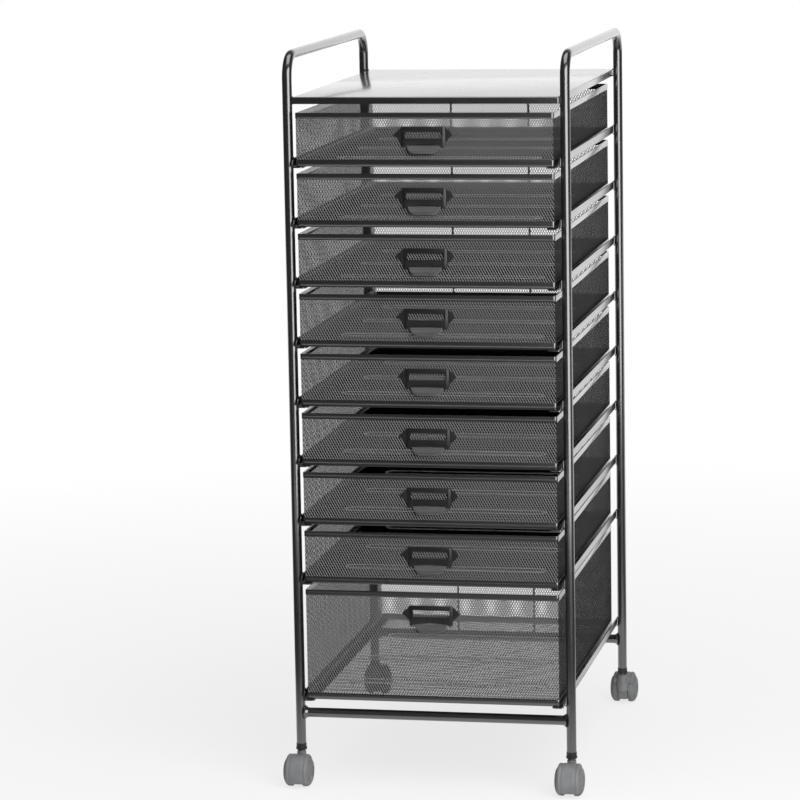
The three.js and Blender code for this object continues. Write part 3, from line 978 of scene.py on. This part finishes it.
def pull_wing(side, middle, back):
    """A flat pointed wing beside the label frame."""
    sizes = bpy.context.scene.cart_pulls
    root, rise = sizes.frame_width / 2 - sizes.edge, sizes.wing_root
    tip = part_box("drawer_pull_1")[1].x
    neck, blunt = tip - sizes.wing_blunt, sizes.wing_tip
    outline = ((root, -rise), (neck, -blunt), (tip, 0.0), (neck, blunt), (root, rise))
    front = back - sizes.wing_sheet
    bm = bmesh.new()
    face = bm.faces.new([bm.verts.new((side * x, front, middle + z)) for x, z in outline[::side]])
    face.normal_update()
    bmesh.ops.solidify(bm, geom=[face], thickness=sizes.wing_sheet)
    return bm


def finger_tongue(root, face):
    """The half-moon tongue that curls forward under the frame."""
    sizes = bpy.context.scene.cart_pulls
    half = sizes.tongue_width / 2
    bm = bmesh.new()
    edges = wire(bm, [(-half, face, root), (half, face, root)], closed=False)
    bmesh.ops.subdivide_edges(bm, edges=edges, cuts=TONGUE_CUTS)
    pivot = Vector((0, face - sizes.tongue_radius, root))
    bmesh.ops.spin(
        bm, geom=bm.edges[:], cent=pivot, axis=ACROSS, angle=-sizes.tongue_sweep, steps=TONGUE_STEPS)
    for vert in bm.verts:
        arm = vert.co - pivot
        turn = math.atan2(-arm.z, arm.y) / sizes.tongue_sweep
        vert.co.x *= math.sqrt(max(0.0, 1 - (1 - sizes.tongue_tip ** 2) * turn ** 2))
    bmesh.ops.solidify(bm, geom=bm.faces[:], thickness=sizes.tongue_sheet)
    return bm


def moulded(parts):
    """One mesh of several moulded parts with rounded edges."""
    sizes = bpy.context.scene.cart_pulls
    bm = bmesh.new()
    for part in parts:
        bmesh.ops.recalc_face_normals(part, faces=part.faces[:])
        soften(part, sharp_edges(part, limit=50), sizes.edge)
        join_into(bm, part)
    return mesh_of(bm, "pull")


class CART_OT_pulls(bpy.types.Operator):
    """Model the nine moulded pulls"""

    bl_idname = "cart.pulls"
    bl_label = "Pulls"

    def execute(self, context):
        sizes = context.scene.cart_pulls
        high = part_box("drawer_pull_1")[1]
        middle = high.z - sizes.window_drop - sizes.window_height / 2
        root = high.z - sizes.plate_height + sizes.tongue_sheet
        wings = [pull_wing(side, middle, high.y) for _, side in SIDES]
        plate = moulded([label_frame(high.z, high.y), *wings])
        tongue = moulded([finger_tongue(root, high.y - sizes.tongue_sheet)])
        for number in DRAWER_NUMBERS:
            node = f"drawer_pull_{number}"
            body = f"drawer_unit_{number}"
            drop = Matrix.Translation(UP * (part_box(node)[1].z - high.z))
            piece_of(moved_copy(plate, drop), f"pull_{number}", body, "pull_plastic", [node])
            # The tongues take the paler finish, a painted highlight on their upturned faces.
            piece_of(moved_copy(tongue, drop), f"tongue_{number}", body, "pull_plastic",
                     finish="highlighted_tongue_plastic")
        return {"FINISHED"}


# Casters

class CasterShape:
    """The parts of one caster, with the stem on the Z axis and the wheels trailing towards -Y."""

    def __init__(self):
        self.sizes = bpy.context.scene.cart_casters
        wheel_low, wheel_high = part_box("caster_front_left_wheel_left")
        stem = middle_of("caster_front_left_stem").x
        self.radius = (wheel_high.z - wheel_low.z) / 2
        self.axle = Vector((0, -self.sizes.trail, self.radius))
        self.inner = stem - wheel_high.x
        self.outer = stem - wheel_low.x
        self.tread_end = self.inner + self.sizes.tread
        self.neck_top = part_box("caster_front_left_hood")[1].z

    def wheel_radius(self, x):
        """The wheel's radius at a distance x from the middle of the caster."""
        across = min(max(abs(x) - self.tread_end, 0) / (self.outer - self.tread_end), 1)
        return self.sizes.face + (self.radius - self.sizes.face) * math.sqrt(1 - across * across)

    def at(self, x, radius):
        """A point at a radius straight in front of the axle."""
        return self.axle + Vector((x, -radius, 0))

    def hood(self):
        """The fender, the spine between the wheels and the neck round the stem."""
        sizes = self.sizes
        over, under = [], []
        for step in range(FENDER_STEPS + 1):
            x = sizes.fender_width / 2 * (2 * step / FENDER_STEPS - 1)
            from_edge = min(step, FENDER_STEPS - step)
            sunk = sizes.fender_edge if from_edge == 0 else 0
            sunk += sizes.fender_groove if from_edge in FENDER_GROOVES else 0
            inner = self.wheel_radius(x) + sizes.play
            over.append(self.at(x, inner + sizes.fender_sheet - sunk))
            under.append(self.at(x, inner))
        sweep = sizes.fender_back - sizes.fender_front
        bm = turned(over + under[::-1], self.axle, ACROSS, HOOD_SIDES, -sweep)
        tilt = Matrix.Rotation(-sizes.fender_front, 3, ACROSS)
        bmesh.ops.rotate(bm, verts=bm.verts[:], cent=self.axle, matrix=tilt)
        join_into(bm, self.spine())
        join_into(bm, self.neck())
        return bm

    def spine(self):
        """The web between the wheels, cut level above the floor."""
        sizes = self.sizes
        bm = bmesh.new()
        start = self.axle - ACROSS * (sizes.spine / 2)
        radius = self.radius + sizes.play + sizes.fender_sheet / 2
        web = RoundBar(bm, radius, start, ACROSS, WHEEL_SIDES)
        web.run(sizes.spine)
        web.cap()
        trim(bm, UP * sizes.spine_gap, -UP)
        soften(bm, sharp_edges(bm, limit=50), sizes.edge)
        return bm

    def neck(self):
        """The neck, flared where it runs into the fender."""
        radius, top, edge = self.sizes.neck, self.neck_top, 0.0006
        flare, waist = radius * 1.35, radius * 1.12
        flare_top, waist_top, straight = top - 0.0100, top - 0.0062, top - 0.0040
        outline = [(0, self.radius), (flare, self.radius), (flare, flare_top), (waist, waist_top),
                   (radius, straight), (radius, top - edge), (radius - edge, top), (0, top)]
        return lathed(outline, HOOD_SIDES)

    def wheel(self):
        """A wheel with a domed outer face, a ring groove and a recessed hub."""
        sizes, tread, inner, outer = self.sizes, self.radius, self.inner, self.outer
        face, hub, bore, edge = sizes.face, sizes.hub, sizes.axle_hole, sizes.edge
        outline = [(bore, inner), (tread - edge, inner), (tread, inner + edge)]
        for step in range(DOME_STEPS):
            x = self.tread_end + (outer - self.tread_end) * math.sin(QUARTER_TURN * step / DOME_STEPS)
            groove = sizes.ring_groove if step == DOME_GROOVE else 0
            outline.append((self.wheel_radius(x) - groove, x - groove))
        brow, lip, hub_top, pit = outer - 0.0002, outer - 0.0003, outer - 0.0004, outer - sizes.recess
        slope = 0.0006
        outline += [(face + edge, brow), (face, lip), (face - slope, pit),
                    (hub, pit), (hub - slope, hub_top), (bore, hub_top)]
        return turned([self.at(-x, radius) for radius, x in outline], self.axle, ACROSS, WHEEL_SIDES)

    def stem(self):
        """The bare stem, with the groove of its grip ring."""
        low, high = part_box("caster_front_left_stem")
        radius, chamfer = self.sizes.stem, 0.0005
        waist, slope, ring = radius - 0.0006, 0.0003, 0.0004
        start = self.neck_top + 0.0006
        bottom = start + slope
        outline = [(0, low.z), (radius - chamfer, low.z), (radius, low.z + chamfer), (radius, start),
                   (waist, bottom), (waist, bottom + ring), (radius, bottom + ring + slope),
                   (radius, high.z), (0, high.z)]
        return lathed(outline, STEM_SIDES)

    def flange(self):
        """The flange under the post, with a short sleeve up the outside of the tube."""
        low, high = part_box("caster_front_left_stem")
        foot, tube_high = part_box("left_side_tube")
        radius, post = (high.x - low.x) / 2, (tube_high.x - foot.x) / 2
        base, top = self.neck_top + self.sizes.flange_gap, foot.z + self.sizes.sleeve
        edge, shoulder, sleeve, lip = 0.0006, 0.0005, 0.0004, 0.0002
        outline = [(0, base), (radius - edge, base), (radius, base + edge), (radius, foot.z - 2 * lip),
                   (radius - shoulder, foot.z + lip), (post + sleeve, top - lip),
                   (post - edge, top), (0, top)]
        return lathed(outline, HOOD_SIDES)


class CART_OT_casters(bpy.types.Operator):
    """Model the four casters: hoods, wheels, stems and the flanges under the posts"""

    bl_idname = "cart.casters"
    bl_label = "Casters"

    def execute(self, context):
        shape = CasterShape()
        makers = (shape.stem, shape.flange, shape.hood, shape.wheel)
        parts = [mesh_of(make(), "caster part") for make in makers]
        for end_name, end in ENDS:
            for side_name, _ in SIDES:
                self.place(parts, f"{end_name}_{side_name}", end)
        return {"FINISHED"}

    def place(self, parts, corner, end):
        """Puts a caster under one post. The wheels trail forwards in front and backwards behind."""
        node = f"caster_{corner}"
        post = middle_of(f"{node}_stem")
        move = Matrix.Translation((post.x, post.y, 0))
        about = Matrix.Rotation(HALF_TURN, 4, "Z")
        if end > 0:
            move = move @ about
        stem, flange, hood, wheel = (moved_copy(part, move) for part in parts)
        piece_of(stem, f"stem_{corner}", "frame", "stem_steel", [f"{node}_stem"])
        piece_of(flange, f"flange_{corner}", "frame", "pull_plastic")
        piece_of(hood, f"hood_{corner}", f"swivel_{corner}", "caster_grey", [f"{node}_hood"])
        for name, side in SIDES:
            wheel_node = f"{node}_wheel_{name}"
            placed = wheel.copy()
            # The modelled wheel is a front caster's left one, and so a rear caster's right one.
            if side == -end:
                opposite = Vector((post.x, middle_of(wheel_node).y, 0)) * 2
                placed.transform(Matrix.Translation(opposite) @ about)
            roller = f"roller_{corner}_{name}"
            piece_of(placed, f"wheel_{corner}_{name}", roller, "wheel_grey", [wheel_node])


# Stage

# Each studio light's size, place and aim, in metres
SOFTBOXES = {
    "key": ((1.4, 2.0), (1.00, -1.38, 1.02), (0.0, -0.2, 0.60)),
    "top": ((1.6, 1.6), (0.1, -0.3, 2.6), (0.0, 0.0, 0.5)),
    "back": ((3.2, 2.0), (0.0, 2.4, 1.0), (0.0, 0.0, 0.9)),
    "low": ((0.6, 2.4), (-0.06, -2.2, 0.02), (-0.05, -2.2, 1.0)),
}


class CART_OT_stage(bpy.types.Operator):
    """Set up the camera, the pale floor and the studio light"""

    bl_idname = "cart.stage"
    bl_label = "Stage"

    def execute(self, context):
        stage = context.scene.cart_stage
        context.scene.view_settings.view_transform = "Standard"
        self.camera(context, stage)
        self.room(context, stage)
        self.floor(context, stage)
        for name, (size, place, aim) in SOFTBOXES.items():
            self.softbox(context, f"{name}_panel", getattr(stage, name), size, place, aim)
        return {"FINISHED"}

    def camera(self, context, stage):
        """The camera, a long way off to the front right."""
        data = bpy.data.cameras.new("camera")
        data.sensor_width = stage.sensor
        data.lens = stage.lens
        camera = bpy.data.objects.new("camera", data)
        turn = Matrix.Rotation(stage.yaw, 4, "Z") @ Matrix.Rotation(QUARTER_TURN - stage.pitch, 4, "X")
        turn = turn @ Matrix.Rotation(stage.roll, 4, "Z")
        camera.matrix_world = Matrix.Translation(stage.eye) @ turn
        context.scene.collection.objects.link(camera)
        context.scene.camera = camera

    def room(self, context, stage):
        """A room that is white behind the cart, dim behind the camera, and lights the cart evenly."""
        world = bpy.data.worlds.new("studio")
        world.use_nodes = True
        context.scene.world = world
        shop = NodeShop(world.node_tree)
        backwards = shop.depth(shop.node("ShaderNodeTexCoord"))
        mirrored = shop.between(backwards, limits=(0.70, 0.92), ends=(stage.dim_side, 1.0))
        seen = shop.ray("Camera") + shop.ray("Transmission")
        glossy = shop.ray("Glossy")
        grey = seen + glossy * mirrored + (1 - seen) * (1 - glossy) * stage.sky
        light = shop.node("ShaderNodeBackground", None, {"Color": grey})
        shop.node("ShaderNodeOutputWorld", None, {"Surface": light})

    def floor(self, context, stage):
        """A round floor that keeps the shadow near the cart and fades into the white room. In
        reflections it shows no shadow: it glows dim in front and white behind the cart, with a painted
        glow in a pool round the cart.
        """
        material, shop = new_finish("studio floor")
        place = shop.place()
        far = shop.node("ShaderNodeVectorMath", {"operation": "LENGTH"}, {0: place}, output="Value")
        fade = shop.between(far, limits=(0.5, 2.2), ends=(0.75, 1.0))
        behind = shop.between(shop.depth(place), limits=(0.2, 1.2), ends=(stage.dim_side, 1.0))
        # Painted glow, seen only in reflections: 0.6 out to 0.55 m from the middle, gone by 0.9 m.
        near = shop.between(far, limits=(0.55, 0.9), ends=(0.6, 0.0))
        glossy = shop.ray("Glossy")
        seen = shop.ray("Camera") + shop.ray("Transmission")
        pale = rgba(context.scene.cart_finishes.floor)
        lit = shop.node("ShaderNodeBsdfDiffuse", None, {"Color": pale})
        white = shop.node("ShaderNodeEmission", None, {"Color": seen + glossy * (behind + near)})
        mixed = shop.node("ShaderNodeMixShader", None, {0: seen * fade + glossy, 1: lit, 2: white})
        shop.node("ShaderNodeOutputMaterial", None, {"Surface": mixed})
        bm = bmesh.new()
        bmesh.ops.create_circle(bm, cap_ends=True, segments=FLOOR_SIDES, radius=stage.floor_radius)
        mesh = mesh_of(bm, "floor")
        mesh.materials.append(material)
        floor = bpy.data.objects.new("floor", mesh)
        context.scene.collection.objects.link(floor)

    def softbox(self, context, name, watts, size, place, aim):
        """A rectangular light that faces a point and doesn't show itself to the camera."""
        data = bpy.data.lights.new(name, "AREA")
        data.shape = "RECTANGLE"
        data.size, data.size_y = size
        data.energy = watts
        light = bpy.data.objects.new(name, data)
        facing = (Vector(aim) - Vector(place)).to_track_quat("-Z", "Y")
        light.matrix_world = Matrix.Translation(place) @ facing.to_matrix().to_4x4()
        light.visible_camera = False
        context.scene.collection.objects.link(light)


class CART_PT_panel(bpy.types.Panel):
    """The cart's pieces, in the order they are made"""

    bl_idname = "CART_PT_panel"
    bl_label = "File Cart"
    bl_space_type = "VIEW_3D"
    bl_region_type = "UI"
    bl_category = "File Cart"

    def draw(self, context):
        for operator in OPERATORS:
            self.layout.operator(operator.bl_idname)


GROUPS = {
    "cart_frame": CartFrameSizes,
    "cart_drawers": CartDrawerSizes,
    "cart_pulls": CartPullSizes,
    "cart_casters": CartCasterSizes,
    "cart_finishes": CartFinishes,
    "cart_stage": CartStage,
}
OPERATORS = (
    CART_OT_side_tubes,
    CART_OT_cross_bars,
    CART_OT_stop_rods,
    CART_OT_shelf,
    CART_OT_runners,
    CART_OT_welds,
    CART_OT_drawers,
    CART_OT_pulls,
    CART_OT_casters,
    CART_OT_stage,
)


def register():
    for group in (*GROUPS.values(), *OPERATORS, CART_PT_panel):
        bpy.utils.register_class(group)
    for name, group in GROUPS.items():
        setattr(bpy.types.Scene, name, PointerProperty(type=group))


def unregister():
    for name in GROUPS:
        delattr(bpy.types.Scene, name)
    for group in reversed((*GROUPS.values(), *OPERATORS, CART_PT_panel)):
        bpy.utils.unregister_class(group)


def main():
    """Makes every piece in order."""
    register()
    make_finishes()
    for operator in OPERATORS:
        family, name = operator.bl_idname.split(".")
        getattr(getattr(bpy.ops, family), name)()


if __name__ == "__main__":
    main()
